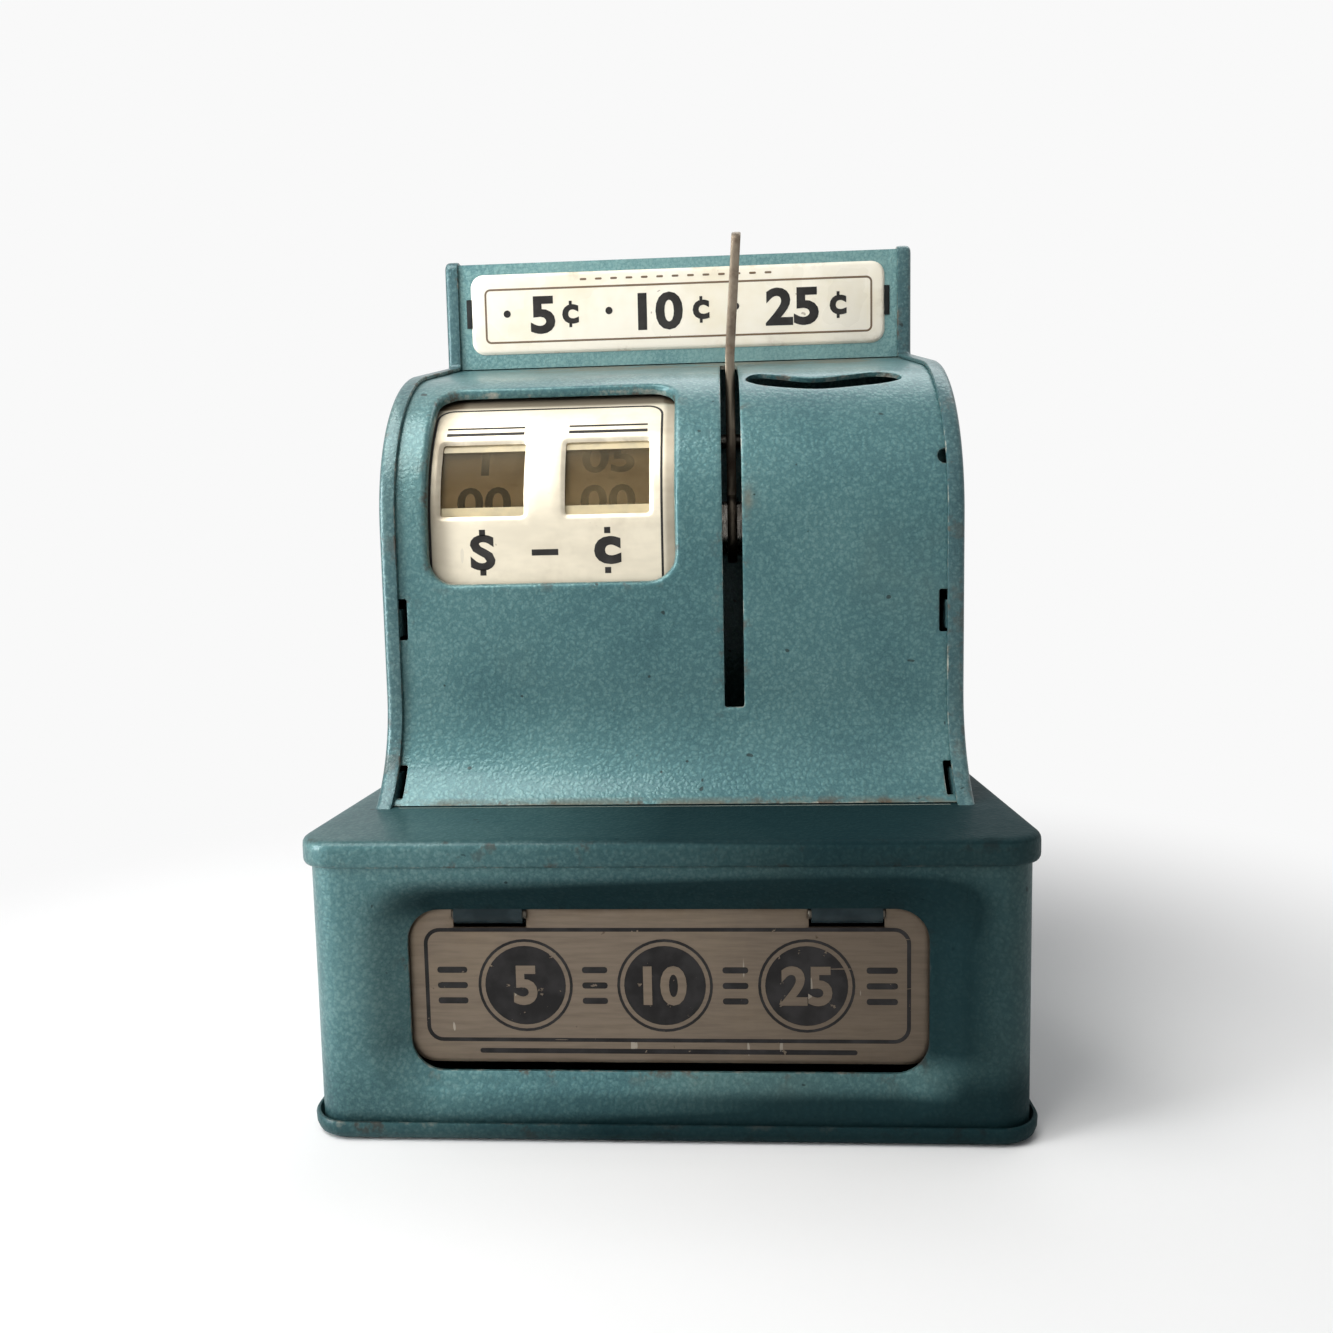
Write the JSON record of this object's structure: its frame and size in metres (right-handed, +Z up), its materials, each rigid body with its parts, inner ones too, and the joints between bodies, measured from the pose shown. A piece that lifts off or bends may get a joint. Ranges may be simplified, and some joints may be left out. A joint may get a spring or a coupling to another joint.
{
  "type": "coin register bank",
  "caption": "Sheet-steel savings bank shaped like a cash register, with number drums behind windows, a pull lever, a coin slot, a bell and an inward-swinging coin door.",
  "frame": {"origin": "middle of the underside of the bottom pan", "axes": "+Z up, the front with the coin door faces -Y, +X to the right seen from the front"},
  "size_m": [0.1142, 0.1016, 0.1573],
  "materials": {
    "painted_steel": "blue-green hammered enamel, worn to grey along the edges",
    "cream_enamel": "cream enamel with a thin brown border, a little chipped",
    "plated_steel": "dull nickel plate, scratched and tarnished",
    "bare_steel": "bare sheet steel, lightly rusted",
    "turned_steel": "turned steel",
    "spring_steel": "oiled spring steel",
    "brass": "aged brass",
    "celluloid": "yellowed clear celluloid",
    "number_band": "brown-tinted band with dark numbers"
  },
  "bodies": {
    "case": {"bottom_pan": "painted_steel", "base_shell": "painted_steel", "base_lid": "painted_steel", "left_side_plate": "painted_steel", "right_side_plate": "painted_steel", "front_cowl": "painted_steel", "back_panel": "painted_steel", "sign_panel": "painted_steel", "sign_plate": "cream_enamel", "register_plate": "plated_steel", "dollars_lens": "celluloid", "cents_lens": "celluloid", "frame_left": "bare_steel", "frame_middle": "bare_steel", "frame_right": "bare_steel", "tie_rods": "turned_steel", "tie_nuts": "turned_steel", "main_shaft": "turned_steel", "shaft_collars": "turned_steel", "frame_screws": "turned_steel", "back_screws": "turned_steel", "coin_chute": "bare_steel", "bell_gong": "brass", "bell_post": "turned_steel", "bell_screw": "turned_steel", "return_spring": "spring_steel", "detent_spring": "spring_steel", "transfer_stud": "turned_steel", "lock_stud": "turned_steel", "hammer_stud": "turned_steel"},
    "lever": {"lever_arm": "painted_steel", "lever_hub": "turned_steel", "pawl_arm": "bare_steel", "pawl_pin": "turned_steel"},
    "pawl": {"drive_pawl": "turned_steel"},
    "cents": {"cents_drum": "bare_steel", "cents_band": "number_band", "ratchet_wheel": "turned_steel", "carry_wheel": "turned_steel"},
    "dollars": {"dollars_drum": "bare_steel", "dollars_band": "number_band", "dollars_gear": "brass", "lock_disc": "turned_steel"},
    "pinion": {"transfer_pinion": "brass"},
    "door": {"coin_door": "plated_steel"},
    "lock": {"lock_lever": "bare_steel"},
    "hammer": {"bell_hammer": "brass"}
  },
  "joints": [
    {"name": "lever_pull", "type": "hinge", "parent": "case", "child": "lever", "pos_m": [0.0116, 0.01205, 0.096], "axis": [1, 0, 0], "range_deg": [0, 128], "stiffness_Nm_per_rad": 0.02, "springref_deg": -28.65},
    {"name": "pawl_lift", "type": "hinge", "parent": "lever", "child": "pawl", "pos_m": [0, 0.00456, 0.11454], "axis": [1, 0, 0], "range_deg": [-12, 0], "stiffness_Nm_per_rad": 0.002, "springref_deg": 22.92},
    {"name": "cents_turn", "type": "hinge", "parent": "case", "child": "cents", "pos_m": [-0.0109, 0.01205, 0.096], "axis": [1, 0, 0], "continuous": true},
    {"name": "dollars_turn", "type": "hinge", "parent": "case", "child": "dollars", "pos_m": [-0.0335, 0.01205, 0.096], "axis": [1, 0, 0], "continuous": true},
    {"name": "pinion_turn", "type": "hinge", "parent": "case", "child": "pinion", "pos_m": [-0.022, 0.02123, 0.08011], "axis": [1, 0, 0], "continuous": true},
    {"name": "door_swing", "type": "hinge", "parent": "case", "child": "door", "pos_m": [0, -0.0449, 0.0346], "axis": [1, 0, 0], "range_deg": [0, 70]},
    {"name": "lock_swing", "type": "hinge", "parent": "case", "child": "lock", "pos_m": [-0.043, 0.026, 0.062], "axis": [1, 0, 0], "range_deg": [0, 8], "stiffness_Nm_per_rad": 0.003, "springref_deg": -17.19},
    {"name": "hammer_swing", "type": "hinge", "parent": "case", "child": "hammer", "pos_m": [0.028, 0.034, 0.074], "axis": [1, 0, 0], "range_deg": [-3, 12], "stiffness_Nm_per_rad": 0.002}
  ],
  "couplings": [
    {"joint": "dollars_turn", "follows": "cents_turn", "ratio": 0.05},
    {"joint": "pinion_turn", "follows": "cents_turn", "ratio": -0.125}
  ]
}
